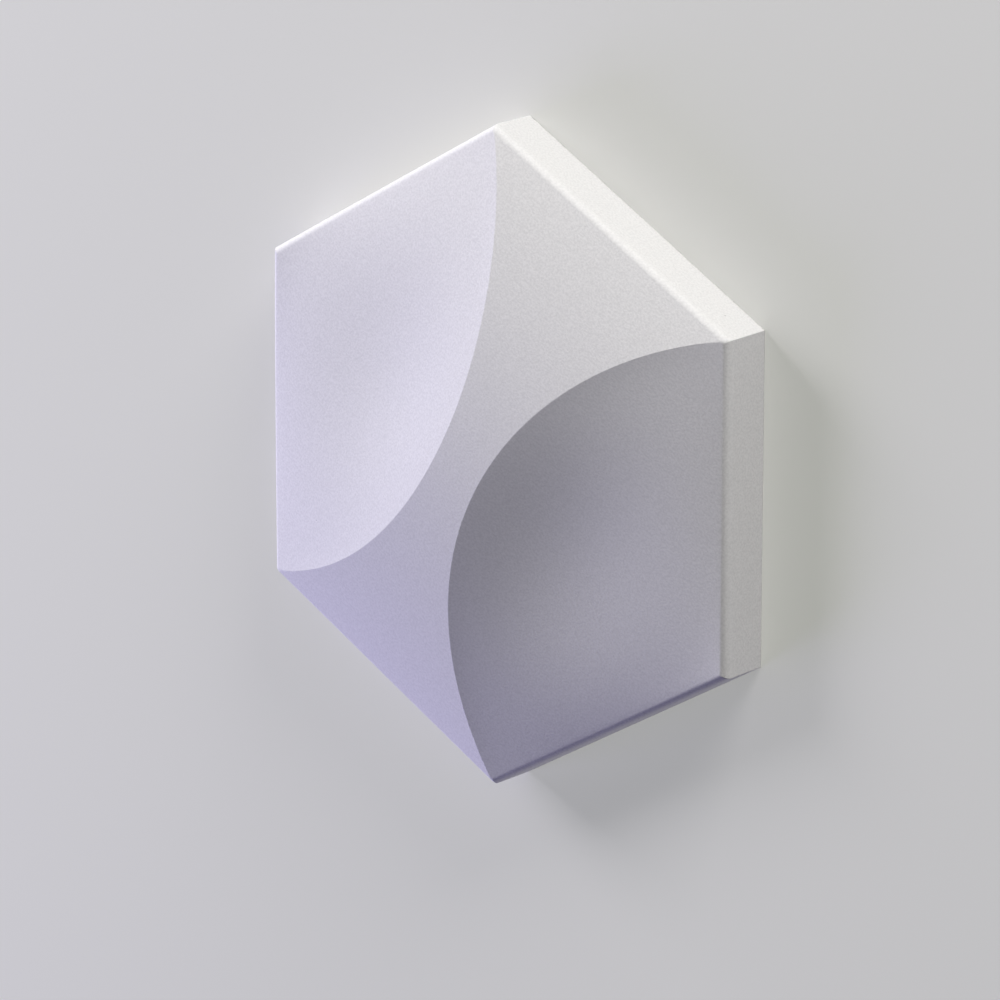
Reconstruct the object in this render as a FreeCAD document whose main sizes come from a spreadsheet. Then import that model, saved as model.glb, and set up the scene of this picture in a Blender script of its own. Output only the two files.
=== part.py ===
"""Hexagonal relief tile for a modular wall, cast in gypsum plaster in one pour.

The tile lies on its back. X runs from one scooped corner to the other, Y across
the flats and Z out of the wall; the origin is the middle of the back face.
Three surfaces make the face, and everywhere the lowest of them is the floor:
a barrel vault that spans the flats, and a scoop that falls away to each end corner.
Where two of them cross there is a sharp crease, and all three come down to the
rim at one height, so that the relief runs on from each tile into the next.
"""
import FreeCAD, Part
import Sketcher
import os
from math import comb, sqrt

NODE = "gypsum_tile"

doc = FreeCAD.newDocument("relief_tile")

# Driving sizes, in millimetres, with the three pure numbers of the scoop floor.
SIZES = (
    ("side", 100.0, "side of the hexagon, which is also its centre-to-corner radius"),
    ("rim_height", 16.5, "height of the rim above the back"),
    ("crown_rise", 17.0, "rise of the vault from the rim to its crown"),
    ("waist", 17.0, "narrowest width of the vaulted band, between the two creases"),
    ("rim_radius", 2.5, "rounding of the rim, soft enough to leave the mould unchipped"),
    ("scoop_lift", 9.1, "swell of the scoop floor towards its outer corner"),
    ("scoop_sink", 5.9, "how much of that swell is taken back, most of it near the crease"),
    ("scoop_depth", 0.4, "hollowing of the whole floor between crease and corner"),
    ("overcut", 6.0, "run of each cutting face past the outline"),
)
sheet = doc.addObject("Spreadsheet::Sheet", "Sizes")
for row, (alias, value, note) in enumerate(SIZES, start=1):
    sheet.set(f"A{row}", alias)
    sheet.set(f"B{row}", str(value))
    sheet.setAlias(f"B{row}", alias)
    sheet.set(f"C{row}", note)
doc.recompute()


def size(alias):
    return float(getattr(sheet, alias))


def plane(body, role):
    return next(part for part in body.Origin.OriginFeatures if part.Role == role)


def new_sketch(body, name, role):
    sketch = body.newObject("Sketcher::SketchObject", name)
    sketch.AttachmentSupport = [(plane(body, role), "")]
    sketch.MapMode = "FlatFace"
    return sketch


# The blank: a regular hexagon with a corner on each end of the X axis.
tile = doc.addObject("PartDesign::Body", "Tile")
plan = new_sketch(tile, "Plan", "XY_Plane")
side = size("side")
half_flats = side * sqrt(3) / 2
corners = [
    FreeCAD.Vector(side, 0, 0),
    FreeCAD.Vector(side / 2, half_flats, 0),
    FreeCAD.Vector(-side / 2, half_flats, 0),
    FreeCAD.Vector(-side, 0, 0),
    FreeCAD.Vector(-side / 2, -half_flats, 0),
    FreeCAD.Vector(side / 2, -half_flats, 0),
]
for start, end in zip(corners, corners[1:] + corners[:1]):
    plan.addGeometry(Part.LineSegment(start, end))
ring = plan.addGeometry(Part.Circle(FreeCAD.Vector(), FreeCAD.Vector(0, 0, 1), side), True)
plan.addConstraint(Sketcher.Constraint("Coincident", ring, 3, -1, 1))
radius = plan.addConstraint(Sketcher.Constraint("Radius", ring, side))
plan.setExpression(f"Constraints[{radius}]", "Sizes.side")
for edge in range(6):
    plan.addConstraint(Sketcher.Constraint("Coincident", edge, 2, (edge + 1) % 6, 1))
    plan.addConstraint(Sketcher.Constraint("PointOnObject", edge, 1, ring))
for edge in range(1, 6):
    plan.addConstraint(Sketcher.Constraint("Equal", 0, edge))
plan.addConstraint(Sketcher.Constraint("PointOnObject", 0, 1, -1))

blank = tile.newObject("PartDesign::Pad", "Blank")
blank.Profile = plan
blank.setExpression("Length", "Sizes.rim_height + Sizes.crown_rise")
doc.recompute()
blank_volume = blank.Shape.Volume

# The vault: everything above one arc is cut away along X. The arc passes through
# the rim at both flats and through the crown, so its radius follows from the two.
vault = new_sketch(tile, "VaultProfile", "YZ_Plane")
SPAN = "(Sizes.side * sqrt(3) / 2)"
ARC = f"(({SPAN} ^ 2 + Sizes.crown_rise ^ 2) / (2 * Sizes.crown_rise))"
rise = size("crown_rise")
crown = size("rim_height") + rise
arc_radius = (half_flats ** 2 + rise ** 2) / (2 * rise)
reach = half_flats + size("overcut")
arc_centre = FreeCAD.Vector(0, crown - arc_radius, 0)
spring = crown - arc_radius + sqrt(arc_radius ** 2 - reach ** 2)
lid = crown + size("overcut")
left = FreeCAD.Vector(-reach, spring, 0)
right = FreeCAD.Vector(reach, spring, 0)
arc = vault.addGeometry(Part.Arc(right, FreeCAD.Vector(0, crown, 0), left))
vault.addGeometry(Part.LineSegment(left, FreeCAD.Vector(-reach, lid, 0)))
vault.addGeometry(Part.LineSegment(FreeCAD.Vector(-reach, lid, 0), FreeCAD.Vector(reach, lid, 0)))
vault.addGeometry(Part.LineSegment(FreeCAD.Vector(reach, lid, 0), right))
tie = vault.addConstraint
tie(Sketcher.Constraint("Coincident", 0, 2, 1, 1))
tie(Sketcher.Constraint("Coincident", 1, 2, 2, 1))
tie(Sketcher.Constraint("Coincident", 2, 2, 3, 1))
tie(Sketcher.Constraint("Coincident", 3, 2, 0, 1))
tie(Sketcher.Constraint("Vertical", 1))
tie(Sketcher.Constraint("Horizontal", 2))
tie(Sketcher.Constraint("Vertical", 3))
tie(Sketcher.Constraint("PointOnObject", 0, 3, -2))
crown_point = vault.addGeometry(Part.Point(FreeCAD.Vector(0, crown, 0)), True)
tie(Sketcher.Constraint("PointOnObject", crown_point, 1, -2))
tie(Sketcher.Constraint("PointOnObject", crown_point, 1, 0))
for kind, first, second, value, rule in (
    ("DistanceY", (-1, 1), (crown_point, 1), crown, "Sizes.rim_height + Sizes.crown_rise"),
    ("DistanceX", (-1, 1), (3, 2), reach, f"{SPAN} + Sizes.overcut"),
    ("DistanceX", (1, 1), (-1, 1), reach, f"{SPAN} + Sizes.overcut"),
    ("DistanceY", (-1, 1), (2, 1), lid, "Sizes.rim_height + Sizes.crown_rise + Sizes.overcut"),
):
    index = tie(Sketcher.Constraint(kind, *first, *second, value))
    vault.setExpression(f"Constraints[{index}]", rule)
index = tie(Sketcher.Constraint("Radius", 0, arc_radius))
vault.setExpression(f"Constraints[{index}]", ARC)

vaulted = tile.newObject("PartDesign::Pocket", "Vaulted")
vaulted.Profile = vault
vaulted.Type = "ThroughAll"
vaulted.SideType = "Symmetric"
doc.recompute()
assert vaulted.Shape.Volume < blank_volume, "the vault has to take something off the blank"


# The scoop floor, as a height over the rim. With e the distance in from the corner
# along X, the two rim lines that meet there are y = +-sqrt(3) e, so the product of
# the distances to them, 3 e^2 - y^2, is zero along both: the floor meets the rim
# exactly. Scaled to reach the crown at the waist, that saddle is then multiplied by
# a fullness. Its first part brings the floor to the vault all along one arc in plan,
# through the waist and two rim corners, so the crease is that arc. Its second part
# holds the dish squared, which is zero on the arc and one at the outer corner, so it
# shapes the hollow between crease and rim without moving either.
# The height is a polynomial, so one patch with these poles is the floor exactly.
def times(p, q):
    out = {}
    for (i, j), a in p.items():
        for (k, l), b in q.items():
            out[i + k, j + l] = out.get((i + k, j + l), 0.0) + a * b
    return out


def plus(p, q, factor=1.0):
    out = dict(p)
    for key, b in q.items():
        out[key] = out.get(key, 0.0) + factor * b
    return out


def scoop_face():
    side, waist, rise = size("side"), size("waist"), size("crown_rise")
    over = size("overcut")
    first, last = -over, side + waist / 2
    width = side * sqrt(3) / 2 + over
    inward = {(0, 0): first, (1, 0): last - first}
    across = {(0, 0): -width, (0, 1): 2 * width}
    to_waist = side - waist / 2
    across2 = times(across, across)
    saddle = plus({}, times(inward, inward), 3.0)
    saddle = plus(saddle, across2, -1.0)
    short = plus({(0, 0): 1.0}, inward, -1 / to_waist)

    # The crease arc: its centre lies on X, outside the corner.
    centre = (side ** 2 - waist ** 2 / 4) / (side - waist)
    radius = centre - waist / 2
    off_centre = plus({(0, 0): side - centre}, inward, -1.0)
    dish = plus({(0, 0): radius ** 2}, times(off_centre, off_centre), -1.0)
    dish = plus({}, plus(dish, across2, -1.0), 1 / (centre * side))
    at_corner = 3 * to_waist ** 2 * (centre - side / 2)
    at_corner /= (0.75 * side ** 2 - rise ** 2) * (centre + side)
    along_crease = (at_corner - 1) / (1 - side / 2 / to_waist)

    hollow = plus({(0, 0): -size("scoop_depth")}, short, size("scoop_lift"))
    hollow = plus(hollow, dish, -size("scoop_sink"))
    fullness = plus({(0, 0): 1.0}, short, along_crease)
    fullness = plus(fullness, times(times(dish, dish), hollow))
    height = times(saddle, fullness)
    scale = rise / (3 * to_waist ** 2)
    rows = max(i for i, j in height)
    cols = max(j for i, j in height)
    patch = Part.BezierSurface()
    patch.increase(rows, cols)
    for i in range(rows + 1):
        for j in range(cols + 1):
            pole = sum(
                a * comb(i, k) * comb(j, l) / (comb(rows, k) * comb(cols, l))
                for (k, l), a in height.items()
                if k <= i and l <= j
            )
            x = side - first - (last - first) * i / rows
            y = width * (2 * j / cols - 1)
            z = size("rim_height") + scale * pole
            patch.setPole(i + 1, j + 1, FreeCAD.Vector(x, y, z))
    return patch.toShape()


floor = doc.addObject("Part::Feature", "ScoopFloor")
floor.Shape = scoop_face()
scoop = doc.addObject("Part::Extrusion", "Scoop")
scoop.Base = floor
scoop.DirMode = "Custom"
scoop.Dir = FreeCAD.Vector(0, 0, 1)
scoop.Solid = True
scoop.setExpression("LengthFwd", "2 * Sizes.crown_rise + Sizes.overcut")
mirrored = doc.addObject("Part::Mirroring", "OtherScoop")
mirrored.Source = scoop
mirrored.Normal = FreeCAD.Vector(1, 0, 0)
doc.recompute()

# Each cutter is the whole block of air over one scoop floor.
cutters = []
for name, block in (("ScoopCutter", scoop), ("OtherScoopCutter", mirrored)):
    cutter = doc.addObject("PartDesign::Body", name)
    cutter.BaseFeature = block
    cutters.append(cutter)
doc.recompute()
scooped = tile.newObject("PartDesign::Boolean", "Scooped")
scooped.Group = cutters
scooped.Type = "Cut"
doc.recompute()
assert scooped.Shape.Volume < vaulted.Shape.Volume, "the scoops have to take something off"

# The rim is the closed run of straight edges at rim height.
rim = []
for number, edge in enumerate(scooped.Shape.Edges, start=1):
    heights = [vertex.Z for vertex in edge.Vertexes] + [edge.CenterOfMass.z]
    if all(abs(height - size("rim_height")) < 0.001 * size("side") for height in heights):
        rim.append(f"Edge{number}")
assert len(rim) == 6, f"the rim has six edges, not {len(rim)}"
rounded = tile.newObject("PartDesign::Fillet", "RoundedRim")
rounded.Base = (scooped, rim)
rounded.setExpression("Radius", "Sizes.rim_radius")
tile.Tip = rounded
tile.Label = NODE
doc.recompute()

for thing in doc.Objects:
    if "Invalid" in thing.State or "Error" in thing.State:
        raise RuntimeError(f"{thing.Name} did not build: {thing.State}")
shape = tile.Shape
if shape.isNull() or not shape.isValid() or len(shape.Solids) != 1:
    raise RuntimeError("the tile has to be one valid solid")

os.makedirs("parts", exist_ok=True)
shape.exportStep(f"parts/{NODE}.step")
print(f"{NODE}: {shape.Volume / 1000:.1f} cm3, {len(shape.Faces)} faces")
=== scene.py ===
# %% [markdown]
# This lesson dresses one wall tile for its portrait: a hexagon of cast gypsum whose face is a
# vaulted band between two hollows. The solid comes from CAD; here we remake its skin finely
# enough for soft light to slide over it, give it the look of dry plaster, and light it.

# %% Load the solid that everything has to agree with
from collections import Counter
from math import cos, radians, sin, sqrt, tau

import bpy
from mathutils import Matrix, Vector


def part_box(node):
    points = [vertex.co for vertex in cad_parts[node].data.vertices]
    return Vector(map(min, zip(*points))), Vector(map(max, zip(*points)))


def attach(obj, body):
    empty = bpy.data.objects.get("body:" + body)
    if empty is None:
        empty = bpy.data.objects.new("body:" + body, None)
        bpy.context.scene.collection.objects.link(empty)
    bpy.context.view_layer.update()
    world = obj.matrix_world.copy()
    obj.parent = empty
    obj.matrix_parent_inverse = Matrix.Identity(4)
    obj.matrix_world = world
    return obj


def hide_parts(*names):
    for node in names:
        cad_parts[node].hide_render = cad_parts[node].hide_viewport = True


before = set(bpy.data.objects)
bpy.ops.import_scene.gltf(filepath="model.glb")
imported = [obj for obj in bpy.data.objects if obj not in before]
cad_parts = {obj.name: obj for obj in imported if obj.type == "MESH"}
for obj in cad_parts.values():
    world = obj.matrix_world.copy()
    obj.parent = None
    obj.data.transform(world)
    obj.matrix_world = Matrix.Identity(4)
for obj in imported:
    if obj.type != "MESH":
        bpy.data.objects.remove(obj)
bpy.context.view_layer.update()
low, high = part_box("gypsum_tile")
print("CAD tile, mm:", [round(1000 * (b - a), 2) for a, b in zip(low, high)])

# %% [markdown]
# The tile is one rule, not a sculpture. Its face is the lowest of three surfaces: an arched vault
# and two hollow scoops. The same few sizes that drive the solid drive the skin. The side is
# measured on the solid itself, and the thickness that the sizes give is printed beside the solid's,
# so the two can't drift apart unseen. The last three are pure numbers, which shape the hollow of a
# scoop.

# %% The sizes of the tile, in metres
SIDE = (high[0] - low[0]) / 2
SIZES = {
    "Side": SIDE,
    "Rim height": 0.0165,
    "Vault rise": 0.0170,
    "Waist": 0.0170,
    "Rim radius": 0.0025,
    "Lift": 9.1,
    "Sink": 5.9,
    "Depth": 0.4,
}
print("side, mm:", round(1000 * SIDE, 2))
print("thickness by the sizes, mm:", round(1000 * (SIZES["Rim height"] + SIZES["Vault rise"]), 2))
print("thickness of the solid, mm:", round(1000 * high[2], 2))

# %% [markdown]
# Geometry Nodes can hold such a rule, but a formula drawn as dozens of Math nodes is tedious to
# wire by hand. So we let Python wire it: a small class stands for one number in the tree, and each
# plus or times written in Python lays down one Math node.


# %% A number in the tree that can be calculated with
class Number:
    """One number in a tree: the output socket that gives it."""

    def __init__(self, tree, socket):
        self.tree, self.socket = tree, socket

    def math(self, operation, *others):
        node = self.tree.nodes.new("ShaderNodeMath")
        node.operation = operation
        for slot, value in zip(node.inputs, (self, *others)):
            if isinstance(value, Number):
                self.tree.links.new(value.socket, slot)
            else:
                slot.default_value = value
        return Number(self.tree, node.outputs[0])

    def __add__(self, other):
        return self.math("ADD", other)

    def __sub__(self, other):
        return self.math("SUBTRACT", other)

    def __mul__(self, other):
        return self.math("MULTIPLY", other)

    def __truediv__(self, other):
        return self.math("DIVIDE", other)

    def __pow__(self, other):
        return self.math("POWER", other)

    def __rsub__(self, other):
        return (self * -1.0) + other

    __radd__ = __add__

    def to(self, other, share):
        """The value a share of the way from this one to another."""
        return self + (other - self) * share


print("a Number can be added, subtracted, multiplied, divided and raised to a power")

# %% [markdown]
# Every patch of the skin starts as Blender's own Grid, one unit square. Its two coordinates, u and
# v, only say how far across and how far along the patch a point is; Set Position then sends each
# point to its real place. That keeps the rows and columns of neighbouring patches in step.

# %% The tree and its named inputs
tree = bpy.data.node_groups.new("relief_tile", "GeometryNodeTree")
tree.interface.new_socket(name="Geometry", in_out="INPUT", socket_type="NodeSocketGeometry")
for name in SIZES:
    tree.interface.new_socket(name=name, in_out="INPUT", socket_type="NodeSocketFloat")
tree.interface.new_socket(name="Material", in_out="INPUT", socket_type="NodeSocketMaterial")
tree.interface.new_socket(name="Geometry", in_out="OUTPUT", socket_type="NodeSocketGeometry")
entry = tree.nodes.new("NodeGroupInput")
sizes = [Number(tree, entry.outputs[name]) for name in SIZES]
side, rim, rise, waist, radius, lift, sink, depth = sizes
print("inputs of the tree:", [socket.name for socket in entry.outputs if socket.name])

# %% One patch of skin
place = tree.nodes.new("ShaderNodeSeparateXYZ")
tree.links.new(tree.nodes.new("GeometryNodeInputPosition").outputs[0], place.inputs[0])
u = Number(tree, place.outputs[0]) + 0.5
v = Number(tree, place.outputs[1]) + 0.5
zero = u * 0.0


def patch(columns, rows, x, y, z):
    grid = tree.nodes.new("GeometryNodeMeshGrid")
    grid.inputs["Vertices X"].default_value = columns
    grid.inputs["Vertices Y"].default_value = rows
    join = tree.nodes.new("ShaderNodeCombineXYZ")
    for slot, value in zip(join.inputs, (x, y, z)):
        if isinstance(value, Number):
            tree.links.new(value.socket, slot)
        else:
            slot.default_value = value
    move = tree.nodes.new("GeometryNodeSetPosition")
    tree.links.new(grid.outputs[0], move.inputs["Geometry"])
    tree.links.new(join.outputs[0], move.inputs["Position"])
    return move.outputs[0]


print("nodes laid down so far:", len(tree.nodes))

# %% [markdown]
# The three surfaces. The vault is one circular arc. A scoop floor is zero along both rim lines,
# because it starts from the product of the distances to them. That saddle is multiplied by a
# fullness, which brings it up to the vault along one arc in plan and shapes the hollow inside it.
# The fullness is one at the waist. At a corner of the band both surfaces have come down to the rim,
# so there it has to be the ratio of their slopes along the crease.

# %% The arc of the vault, and the arc in plan where a scoop meets it
half_flats = side * (sqrt(3) / 2)
arc = (half_flats * half_flats + rise * rise) / (rise * 2.0)
to_waist = side - waist / 2.0
centre = (side * side - waist * waist / 4.0) / (side - waist)
sweep = centre - waist / 2.0
vault_share = (side * side * 0.75 - rise * rise) * (centre + side)
at_corner = to_waist * to_waist * (centre - side / 2.0) * 3.0 / vault_share
along_crease = (at_corner - 1.0) / (1.0 - side / to_waist / 2.0)


def vault(y):
    return rim + rise - arc + (arc * arc - y * y).math("SQRT")


def crease(y):
    """Where the crease crosses a given y."""
    return centre - (sweep * sweep - y * y).math("SQRT")


print("nodes laid down so far:", len(tree.nodes))


# %% The height of the face over any point
def fullness(inward, y):
    """What the saddle is multiplied by; the dish is zero on the crease and grows inside it."""
    short = 1.0 - inward / to_waist
    off_centre = side - centre - inward
    dish = (sweep * sweep - off_centre * off_centre - y * y) / (centre * side)
    hollow = lift * short - sink * dish - depth
    return 1.0 + along_crease * short + dish * dish * hollow


def scoop(x, y):
    inward = side - x
    saddle = inward * inward * 3.0 - y * y
    return rim + rise * saddle * fullness(inward, y) / (to_waist * to_waist * 3.0)


def face(x, y):
    return vault(y).math("MINIMUM", scoop(x, y))


print("nodes laid down so far:", len(tree.nodes))

# %% [markdown]
# Columns and rows of points aren't spread evenly. They crowd towards each crease and corner, so
# that smooth shading turns over a few tenths of a millimetre there: crisp, but not razor sharp, as
# plaster leaves its mould.

# %% Ways to spread points
BOTH_ENDS, ONE_END = 0.88, 0.85


def crowded_at_end(share):
    return share * (1.0 + ONE_END) - share * share * ONE_END


towards_both = v - (v * tau).math("SINE") * (BOTH_ENDS / tau)
towards_end = crowded_at_end(u)
towards_start = u * (1.0 - ONE_END) + u * u * ONE_END
down = crowded_at_end(v)
closest = (round(1 - BOTH_ENDS, 2), round(1 - ONE_END, 2))
print("closest spacing, as a share of an even one:", closest)

# %% [markdown]
# The rim is rounded like a ball rolled along the edge. The face arrives at some slope, so the arc
# starts at that slope and ends upright. On the flats the slope is the vault's, on the slanted edges
# the scoop's; close to a corner the two are blended so that both arcs meet in one line.

# %% The slope of the face at the rim, as an angle
NEAR_CORNER = 24.0  # a power: the higher it is, the closer to the corner the blend stays


def scoop_slope(inward, y):
    gradient = inward * fullness(inward, y) * rise * (4 / sqrt(3)) / (to_waist * to_waist)
    return gradient.math("ARCTANGENT")


edge_y = towards_both * half_flats
slant_slope = scoop_slope(towards_both * side / 2.0, edge_y)
corner_slope = scoop_slope(side / 2.0, half_flats)
vault_slope = (half_flats / (arc - rise)).math("ARCTANGENT")
flat_slope = vault_slope.to(corner_slope, towards_end ** NEAR_CORNER)
print("nodes laid down so far:", len(tree.nodes))


# %% The rounding itself
def tilted(slope, turn):
    """Angle of the skin at a share of the turn from the face down to the upright wall."""
    return slope.to(radians(90), turn)


def inset(slope, turn):
    return radius * (1.0 - tilted(slope, turn).math("SINE"))


def drop(slope, turn):
    return radius * (slope.math("COSINE") - tilted(slope, turn).math("COSINE"))


def slant_point(turn):
    """On a slanted edge, which starts at the outer corner, where the scoop floor arrives level."""
    first = inset(zero, turn) / sqrt(3)
    last = side - inset(corner_slope, turn) / sqrt(3)
    along = first.to(last, towards_both)
    away = inset(slant_slope, turn)
    return side - along / 2.0 - away * (sqrt(3) / 2), along * (sqrt(3) / 2) - away / 2.0


def flat_point(turn):
    last = side / 2.0 - inset(corner_slope, turn) / sqrt(3)
    return last * towards_end, half_flats - inset(flat_slope, turn)


print("rim rounding, mm:", 1000 * SIZES["Rim radius"])

# %% [markdown]
# Now the patches of one quarter: band, scoop, two strips of rounded rim, two walls and the back.
# First come the lines that they share: the crease, which bends over its last stretch to end where
# the two roundings meet, and the upper edges of both roundings.

# %% The lines between the patches
LAST_STRETCH = 60.0  # a power again: the bend is short
corner_inset = inset(corner_slope, zero)
corner_x, corner_y = side / 2.0 - corner_inset / sqrt(3), half_flats - corner_inset
line_y = towards_both * corner_y
line_x = crease(line_y) + (corner_x - crease(corner_y)) * towards_both ** LAST_STRETCH
rim_x, rim_y = slant_point(zero)
slant_z = face(rim_x, rim_y)
flat_z = face(*flat_point(zero))
slant_foot = slant_z - drop(slant_slope, zero + 1.0)
flat_foot = flat_z - drop(flat_slope, zero + 1.0)
print("nodes laid down so far:", len(tree.nodes))

# %% One quarter of the skin
BAND, ALONG, HOLLOW, ROUND, WALL = 34, 90, 64, 11, 12
band_x, band_y = line_x * towards_end, towards_both * flat_point(zero)[1]
scoop_x, scoop_y = line_x.to(rim_x, towards_start), line_y.to(rim_y, towards_start)
wall_x = side - towards_both * side / 2.0
slant_x, slant_y = slant_point(u)
flat_x, flat_y = flat_point(v)
quarter = [
    patch(BAND, ALONG, band_x, band_y, face(band_x, band_y)),
    patch(HOLLOW, ALONG, scoop_x, scoop_y, face(scoop_x, scoop_y)),
    patch(ROUND, ALONG, slant_x, slant_y, slant_z - drop(slant_slope, u)),
    patch(BAND, ROUND, flat_x, flat_y, flat_z - drop(flat_slope, v)),
    patch(WALL, ALONG, wall_x, edge_y, slant_foot * (1.0 - towards_end)),
    patch(BAND, WALL, towards_end * side / 2.0, half_flats, flat_foot * (1.0 - down)),
]
back = patch(BAND, ALONG, wall_x * towards_end, edge_y, 0.0)
print("patches in a quarter:", len(quarter) + 1)

# %% [markdown]
# The tile is the same in all four quarters, so one quarter is mirrored twice. A mirrored copy has
# its faces inside out, so they are flipped, and the seams are welded by distance. The back faces
# down, so its patch is flipped too.


# %% Mirror and weld
def flipped(geometry):
    flip = tree.nodes.new("GeometryNodeFlipFaces")
    tree.links.new(geometry, flip.inputs[0])
    return flip.outputs[0]


def joined(pieces):
    join = tree.nodes.new("GeometryNodeJoinGeometry")
    for piece in pieces:
        tree.links.new(piece, join.inputs[0])
    return join.outputs[0]


def mirrored_join(geometry, scale):
    turn = tree.nodes.new("GeometryNodeTransform")
    turn.inputs["Scale"].default_value = scale
    tree.links.new(geometry, turn.inputs["Geometry"])
    return joined([geometry, flipped(turn.outputs[0])])


WELD = 0.00001
whole = joined(quarter + [flipped(back)])
skin = mirrored_join(mirrored_join(whole, (-1, 1, 1)), (1, -1, 1))
weld = tree.nodes.new("GeometryNodeMergeByDistance")
weld.inputs["Distance"].default_value = WELD
tree.links.new(skin, weld.inputs["Geometry"])
print("seams welded within, mm:", 1000 * WELD)

# %% Shade it smooth, and finish the tree
smooth = tree.nodes.new("GeometryNodeSetShadeSmooth")
realize = tree.nodes.new("GeometryNodeRealizeInstances")
coat = tree.nodes.new("GeometryNodeSetMaterial")
leave = tree.nodes.new("NodeGroupOutput")
chain = [weld, smooth, realize, coat, leave]
for before, after in zip(chain, chain[1:]):
    tree.links.new(before.outputs[0], after.inputs[0])
tree.links.new(entry.outputs["Material"], coat.inputs["Material"])
print("nodes in the tree:", len(tree.nodes))

# %% [markdown]
# The tile is dry gypsum plaster: matt, a touch warmer than white, and never quite even. Four things
# make it up. A fine grain, half a millimetre across, comes from the crystals. Very broad, very faint
# clouding comes from water that dried out of the block unevenly. A few pinholes are air bubbles that
# stayed against the mould, more of them low on the walls. And the back, the open side of the mould,
# was struck off flat with a straight edge, which leaves fine streaks.
# All of it could be painted as an image; nodes on Object coordinates need none, and they keep the
# same size in millimetres if the tile is made larger.

# %% Small helpers that lay down shader nodes
plaster = bpy.data.materials.new("dry_gypsum_plaster")
plaster.use_nodes = True
shades = plaster.node_tree
shader = shades.nodes["Principled BSDF"]


def node(kind, sockets, into=shades, **settings):
    """One new node: its input sockets by name or number, then its settings by name."""
    new = into.nodes.new(kind)
    for key, value in settings.items():
        setattr(new, key, value)
    for key, value in sockets.items():
        slot = new.inputs[key]
        if isinstance(value, bpy.types.NodeSocket):
            into.links.new(value, slot)
        else:
            slot.default_value = value
    return new


def calculated(operation, first, second, into=shades):
    return node("ShaderNodeMath", {0: first, 1: second}, into, operation=operation).outputs[0]


def mixed(share, first, second, into=shades, blend="MIX"):
    """A colour between two colours; sockets 6 and 7 are the Mix node's colour inputs."""
    sockets = {"Factor": share, 6: first, 7: second}
    return node("ShaderNodeMix", sockets, into, data_type="RGBA", blend_type=blend).outputs[2]


def remapped(value, before, after):
    """A value that runs over one range, stretched or turned round to run over another."""
    ranges = {"From Min": before[0], "From Max": before[1], "To Min": after[0], "To Max": after[1]}
    return node("ShaderNodeMapRange", {"Value": value, **ranges}).outputs[0]


where_on_tile = node("ShaderNodeTexCoord", {}).outputs["Object"]
height_on_tile = node("ShaderNodeSeparateXYZ", {0: where_on_tile}).outputs["Z"]
print("material:", plaster.name)

# %% [markdown]
# Grain and clouding are two Noise Textures, one 1500 to the metre and one only 16. Grain shows less
# as colour than as relief: under low light each crystal has a bright and a dark side, so the same
# noise also goes to the bump below. The two tones that the clouds mix are close together.


# %% Grain and clouding
def noise(vector, scale, detail):
    sockets = {"Vector": vector, "Scale": scale, "Detail": detail}
    return node("ShaderNodeTexNoise", sockets).outputs["Fac"]


DULL, CLEAR = (0.790, 0.782, 0.776, 1), (0.822, 0.810, 0.796, 1)
grain = noise(where_on_tile, scale=1500.0, detail=1.0)
clouds = noise(where_on_tile, scale=16.0, detail=3.0)
cloudy = mixed(clouds, DULL, CLEAR)
speckle = remapped(grain, (0.3, 0.7), (0.925, 1.04))
print("plaster colour lies between", DULL[:3], "and", CLEAR[:3])

# %% [markdown]
# A pinhole is a small round dot round a random point, which is what a Voronoi Texture's distance
# gives. Each cell also has a random colour; letting only cells with a high red through thins the
# holes out, and the limit is lowered towards the back so that the walls get more of them. Each
# hole is also darkened in colour: that is painted shade inside it, over the real dip of its bump.

# %% Pinholes
CELLS_PER_METRE = 170.0
# The darker hole colour is painted shade, standing in for the shadow inside each hole.
HOLE_EDGE, HOLE_PAINTED_SHADE = (0.03, 0.06), (0.46, 0.45, 0.44, 1)
cells = node("ShaderNodeTexVoronoi", {"Vector": where_on_tile, "Scale": CELLS_PER_METRE})
dots = remapped(cells.outputs["Distance"], HOLE_EDGE, (1.0, 0.0))
limit = remapped(height_on_tile, (0.002, 0.014), (0.72, 0.93))
chance = node("ShaderNodeSeparateColor", {0: cells.outputs["Color"]}).outputs["Red"]
pinholes = calculated("MULTIPLY", dots, calculated("GREATER_THAN", chance, limit))
print("widest pinhole, mm:", round(2000 * HOLE_EDGE[1] / CELLS_PER_METRE, 2))

# %% [markdown]
# The struck-off back: the same noise, but squeezed forty times more across than along, gives long
# streaks. They belong to the back alone, which is everything under a quarter of a millimetre.

# %% Streaks on the back
SQUEEZE, SLANT, BACK_LAYER = 40.0, 0.35, 0.00025
squeezed = node(
    "ShaderNodeMapping",
    {"Vector": where_on_tile, "Scale": (1.0, SQUEEZE, 1.0), "Rotation": (0, 0, SLANT)},
)
streaks = noise(squeezed.outputs[0], scale=22.0, detail=4.0)
back_streaks = calculated("MULTIPLY", streaks, calculated("LESS_THAN", height_on_tile, BACK_LAYER))
print("streaks only below, mm:", 1000 * BACK_LAYER)

# %% [markdown]
# Now the sockets. The three kinds of relief are bumps in a chain, each with its real depth in
# metres. Roughness hardly varies, since dry plaster has no polish anywhere, and the specular level
# is low for the same reason.

# %% Wire the plaster up
CRYSTAL_DEPTH, HOLE_DEPTH, STREAK_DEPTH = 0.00004, 0.0002, 0.0002


def relief(height, depth, strength, **settings):
    sockets = {"Height": height, "Distance": depth, "Strength": strength}
    return node("ShaderNodeBump", sockets, **settings)


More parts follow.
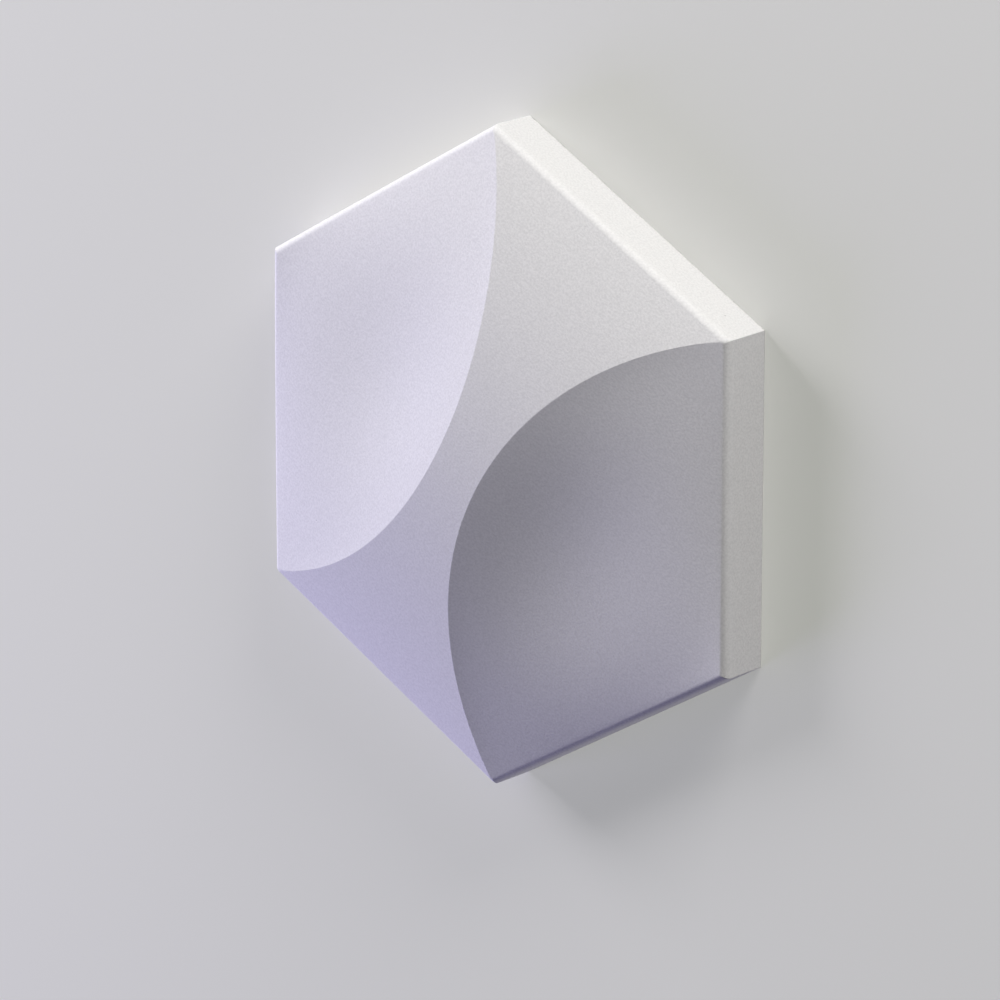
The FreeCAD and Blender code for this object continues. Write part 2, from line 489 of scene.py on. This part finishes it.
toned = mixed(1.0, cloudy, speckle, blend="MULTIPLY")
bumps = [
    relief(grain, CRYSTAL_DEPTH, strength=1.0),
    relief(pinholes, HOLE_DEPTH, strength=1.0, invert=True),
    relief(back_streaks, STREAK_DEPTH, strength=0.6),
]
for under, over in zip(bumps, bumps[1:]):
    shades.links.new(under.outputs[0], over.inputs["Normal"])
# Pinholes darken the base colour: painted shade inside the holes.
shades.links.new(mixed(pinholes, toned, HOLE_PAINTED_SHADE), shader.inputs["Base Color"])
shades.links.new(remapped(clouds, (0.0, 1.0), (0.86, 0.96)), shader.inputs["Roughness"])
shades.links.new(bumps[-1].outputs[0], shader.inputs["Normal"])
shader.inputs["Specular IOR Level"].default_value = 0.35
print("plaster nodes:", len(shades.nodes))

# %% [markdown]
# An empty mesh carries the tree as a modifier. The modifier's inputs are known by identifiers, not
# by their names, so we look those up. What the tree makes is then kept as a plain mesh.

# %% Make the tile and keep it as a plain mesh
carrier = bpy.data.objects.new("tile_rule", bpy.data.meshes.new("tile_rule"))
bpy.context.scene.collection.objects.link(carrier)
modifier = carrier.modifiers.new("rule", "NODES")
modifier.node_group = tree
values = {**SIZES, "Material": plaster}
for item in tree.interface.items_tree:
    if item.in_out == "INPUT" and item.name in values:
        modifier[item.identifier] = values[item.name]
graph = bpy.context.evaluated_depsgraph_get()
mesh = bpy.data.meshes.new_from_object(carrier.evaluated_get(graph))
mesh.name = "relief_tile"
tile = bpy.data.objects.new("relief_tile", mesh)
bpy.context.scene.collection.objects.link(tile)
bpy.data.objects.remove(carrier)
print("tile:", len(mesh.vertices), "points,", len(mesh.polygons), "faces")

# %% Check that it is closed, and hand it over
faces_at = Counter(key for polygon in mesh.polygons for key in polygon.edge_keys)
print("open edges:", sum(1 for count in faces_at.values() if count != 2))
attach(tile, "root")
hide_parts("gypsum_tile")

# %% [markdown]
# The photograph shows the tile hanging, turned thirty degrees against the way it lies here, and it
# was taken from the right and a little above with a long lens. A camera is a place, a direction and
# an angle of view. Here the direction is two angles, in radians, and the place follows from how
# large the tile is in the picture and how far its middle is off centre, in sides of the tile. With
# a long lens the far edges hardly shrink, so the hexagon keeps its shape.

# %% The camera
LOOK_AZIMUTH, LOOK_HEIGHT = 0.6996, 0.2777
PICTURE, SENSOR = 1000, 36
SIDE_PIXELS, LENS_PIXELS = 340.06, 6185.6
OFF_ACROSS, OFF_UP = 0.0873, 0.1523
out = Vector((
    sin(LOOK_AZIMUTH) * cos(LOOK_HEIGHT),
    sin(LOOK_HEIGHT),
    cos(LOOK_AZIMUTH) * cos(LOOK_HEIGHT),
))
across = Vector((cos(LOOK_AZIMUTH), 0, -sin(LOOK_AZIMUTH)))
up = out.cross(across)
where = (out * LENS_PIXELS / SIDE_PIXELS - across * OFF_ACROSS - up * OFF_UP) * SIDE
facing = Matrix((across, up, out)).transposed().to_4x4()
hang = Matrix.Rotation(radians(30), 4, "Z")
camera_data = bpy.data.cameras.new("camera")
camera_data.sensor_width = SENSOR
camera_data.lens = LENS_PIXELS * SENSOR / PICTURE
camera = bpy.data.objects.new("camera", camera_data)
camera.matrix_world = hang @ (Matrix.Translation(where) @ facing)
bpy.context.scene.collection.objects.link(camera)
bpy.context.scene.camera = camera
print("camera, m away:", round(where.length, 2), "lens, mm:", round(camera_data.lens))

# %% [markdown]
# The tile lies on a wide pale sheet, a hair above it, because two faces at the very same height
# flicker into each other. A truly pale floor would throw a lot of light back on the walls of the
# tile. So the paint has two tones. Light that bounces meets a dim grey. Rays from the camera, and
# mirror-like ones, meet a lighter grey with a glow added, and Light Path tells the kinds of ray
# apart. The glow lights nothing, and the shadow shows through it, softened.

# %% The floor
REACH, HAIR = 40 * SIDE, 0.00003
corners = [(-REACH, -REACH), (REACH, -REACH), (REACH, REACH), (-REACH, REACH)]
floor_mesh = bpy.data.meshes.new("floor")
floor_mesh.from_pydata([(x, y, -HAIR) for x, y in corners], [], [(0, 1, 2, 3)])
floor = bpy.data.objects.new("floor", floor_mesh)
bpy.context.scene.collection.objects.link(floor)
print("floor, m across:", round(2 * REACH, 2))

# %% Its paint
BOUNCE_TONE, SEEN_TONE = (0.15, 0.15, 0.15, 1), (0.44, 0.43, 0.43, 1)
GLOW, GLOW_COLOUR = 0.31, (0.98, 1.0, 0.90, 1)
paint = bpy.data.materials.new("pale_floor_paint")
paint.use_nodes = True
mixing = paint.node_tree
ground = mixing.nodes["Principled BSDF"]
rays = node("ShaderNodeLightPath", {}, mixing).outputs
seen = calculated("MAXIMUM", rays["Is Camera Ray"], rays["Is Glossy Ray"], mixing)
mixing.links.new(mixed(seen, BOUNCE_TONE, SEEN_TONE, mixing), ground.inputs["Base Color"])
mixing.links.new(calculated("MULTIPLY", seen, GLOW, mixing), ground.inputs["Emission Strength"])
ground.inputs["Emission Color"].default_value = GLOW_COLOUR
ground.inputs["Roughness"].default_value = 0.95
ground.inputs["Specular IOR Level"].default_value = 0.1
floor_mesh.materials.append(paint)
print("paint nodes:", len(mixing.nodes))

# %% [markdown]
# Shallow relief only reads when light comes from the side, so the lamps stand low, the way a
# photographer rakes light over plaster. They are discs half as wide as they are far, for soft shadow
# edges. The key, on the upper left, fills the left hollow and leaves the right one in shade. The
# edge lamp, on the upper right, brightens the wall there and the top of the band. A cool fill on the
# lower left tints the sides that these two miss.


# %% The lamps above the floor
def lamp(name, height, turn, distance, power, colour):
    """A disc lamp: degrees above the floor, degrees round from the right, and metres away."""
    data = bpy.data.lights.new(name, "AREA")
    data.shape = "DISK"
    data.size = distance / 2
    data.energy = power
    data.color = colour
    above, around = radians(height), radians(turn)
    direction = Vector((cos(above) * cos(around), cos(above) * sin(around), sin(above)))
    aim = (hang @ direction).normalized()
    facing_tile = aim.to_track_quat("Z", "Y").to_matrix().to_4x4()
    thing = bpy.data.objects.new(name, data)
    thing.matrix_world = Matrix.Translation(aim * distance) @ facing_tile
    bpy.context.scene.collection.objects.link(thing)
    print(name, "lamp:", power, "W")
    return thing


lamp("key", height=22, turn=147, distance=2.0, power=37.2, colour=(0.965, 0.955, 1.0))
lamp("edge", height=9, turn=59, distance=1.5, power=24.0, colour=(1.0, 0.995, 0.97))
lamp("cool_fill", height=15, turn=213, distance=2.0, power=31.5, colour=(0.59, 0.55, 1.0))

# %% [markdown]
# The last lamp is under the floor. It lights the lower walls, as light thrown back from below
# would, and can't reach the face. The floor would shut it off, so light linking takes the floor off
# the list of things that shade this lamp.

# %% The lamp under the floor
COLD_WHITE = (0.95, 0.93, 1.0)
under_fill = lamp("under_fill", height=-25, turn=283, distance=2.0, power=9.4, colour=COLD_WHITE)
passed = bpy.data.collections.new("passed_by_under_fill")
passed.objects.link(floor)
passed.collection_objects[0].light_linking.link_state = "EXCLUDE"
under_fill.light_linking.blocker_collection = passed
print("shades all but the floor:", under_fill.light_linking.blocker_collection.name)

# %% [markdown]
# The world adds a breath of cool light from everywhere. All together, the lamps bring the palest
# wall just up to white and keep the face under it. The Standard view shows the colours as they are.

# %% The world and the view
WORLD_COLOUR, WORLD_LEVEL = (0.65, 0.64, 1.0, 1), 0.036
world = bpy.data.worlds.new("studio")
bpy.context.scene.world = world
world.use_nodes = True
world.node_tree.nodes["Background"].inputs["Color"].default_value = WORLD_COLOUR
world.node_tree.nodes["Background"].inputs["Strength"].default_value = WORLD_LEVEL
bpy.context.scene.view_settings.view_transform = "Standard"
print("world level:", WORLD_LEVEL)
